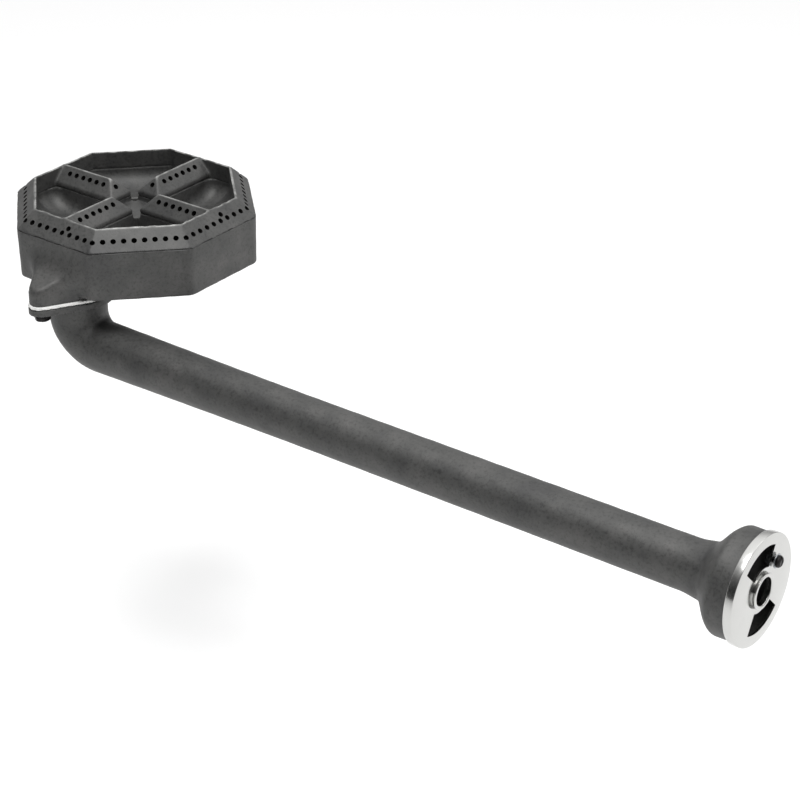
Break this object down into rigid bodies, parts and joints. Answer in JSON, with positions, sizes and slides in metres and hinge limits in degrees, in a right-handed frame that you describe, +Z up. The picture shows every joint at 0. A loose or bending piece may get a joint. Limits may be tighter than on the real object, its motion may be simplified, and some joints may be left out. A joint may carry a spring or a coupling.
{
  "type": "cast iron gas burner with mixer tube and air shutter",
  "caption": "Open-top range burner: octagonal ported cast head on an elbowed mixer tube that ends in a bell with a rotary air shutter and lock screw.",
  "frame": {"origin": "middle of the head's flat underside", "axes": "+X along the mixer tube from the head towards the air shutter, +Z up through the ports, +Y towards the head's side away from the tube"},
  "size_m": [0.6771, 0.2039, 0.14],
  "materials": {
    "cast_iron": "as-cast, dull dark grey",
    "gasket_sheet": "pressed fibre sheet, off-white",
    "bright_plate": "bright nickel-plated pressed steel",
    "dark_steel": "oil-blacked steel",
    "zinc_plate": "zinc-plated steel"
  },
  "bodies": {
    "burner": {"head_floor": "cast_iron", "head_wall": "cast_iron", "head_bowls": "cast_iron", "port_cap": "cast_iron", "flange_gasket": "gasket_sheet", "inlet_elbow": "cast_iron", "mixer_tube": "cast_iron", "bell_mouth": "cast_iron", "flange_screw_outer": "dark_steel", "flange_screw_inner": "dark_steel", "flange_washer_outer": "dark_steel", "flange_washer_inner": "dark_steel", "mouth_cap": "bright_plate", "hub_eyelet": "bright_plate", "lock_washer": "zinc_plate", "lock_nut": "zinc_plate"},
    "shutter": {"air_shutter": "bright_plate"},
    "lock_screw": {"lock_screw": "dark_steel"}
  },
  "joints": [
    {"name": "shutter_turn", "type": "hinge", "parent": "burner", "child": "shutter", "pos_m": [0.5833, -0.0676, -0.0484], "axis": [1, 0, 0], "range_deg": [-83, 25]},
    {"name": "lock_screw_turn", "type": "hinge", "parent": "burner", "child": "lock_screw", "pos_m": [0.5845, -0.05301, -0.03329], "axis": [1, 0, 0], "range_deg": [0, 360]}
  ]
}
